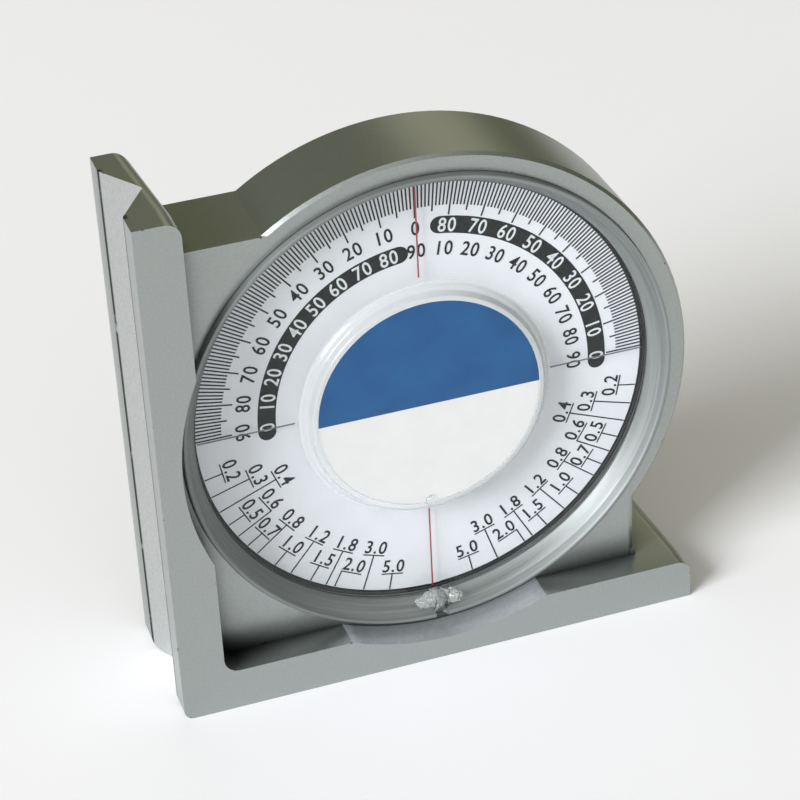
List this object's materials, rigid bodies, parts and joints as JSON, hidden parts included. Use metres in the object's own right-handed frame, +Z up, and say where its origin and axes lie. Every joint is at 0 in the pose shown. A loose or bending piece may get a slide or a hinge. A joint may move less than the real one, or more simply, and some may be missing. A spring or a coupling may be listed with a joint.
{
  "type": "inclinometer",
  "caption": "L-shaped cast frame with a V-grooved side rail and a round drum; in it a sealed clear capsule holds a weighted dial that hangs plumb and shows angle and slope.",
  "frame": {"origin": "middle of the base's footprint, on the flat underside of the base rail", "axes": "+X to the right seen from the dial's front, +Y from the dial's front to its back, +Z up; the dial turns about a line along Y"},
  "size_m": [0.105, 0.03, 0.105],
  "materials": {
    "frame_paint": "die-cast, satin silver paint",
    "clear_acrylic": "clear, polished moulding",
    "cup_plastic": "off-white moulding",
    "gasket_rubber": "black, flat",
    "pad_foam": "closed-cell foam",
    "screw_steel": "zinc-plated",
    "plug_rubber": "dark grey, smooth",
    "clear_sealant": "clear, glossy, uneven",
    "label_white": "white sticker, satin",
    "label_blue": "blue print, satin",
    "index_red": "dark red paint",
    "index_grey": "dark grey paint",
    "jewel_ruby": "polished synthetic ruby",
    "spindle_steel": "ground, polished pivots",
    "hub_brass": "turned",
    "dial_metal": "thin sheet, white back",
    "dial_white": "white film, satin",
    "print_black": "black print",
    "weight_brass": "punched plate",
    "rivet_metal": "plain"
  },
  "bodies": {
    "housing": {"frame": "frame_paint", "capsule_window": "clear_acrylic", "capsule_cup": "cup_plastic", "capsule_gasket": "gasket_rubber", "capsule_pad": "pad_foam", "capsule_screws": "screw_steel", "filler_plug": "plug_rubber", "filler_sealant": "clear_sealant", "centre_label": "label_white", "centre_label_field": "label_blue", "index_line_top": "index_red", "index_line_bottom": "index_red", "index_lines_side": "index_grey", "front_jewel": "jewel_ruby", "rear_jewel": "jewel_ruby"},
    "dial": {"spindle": "spindle_steel", "dial_hub": "hub_brass", "dial_washer": "hub_brass", "dial_plate": "dial_metal", "dial_film": "dial_white", "dial_graduations": "print_black", "dial_figure_bands": "print_black", "dial_gradient_lines": "print_black", "counterweight": "weight_brass", "counterweight_rivets": "rivet_metal"}
  },
  "joints": [
    {"name": "dial_pivot", "type": "hinge", "parent": "housing", "child": "dial", "pos_m": [0.0011, 0, 0.0536], "axis": [0, 1, 0], "continuous": true}
  ]
}
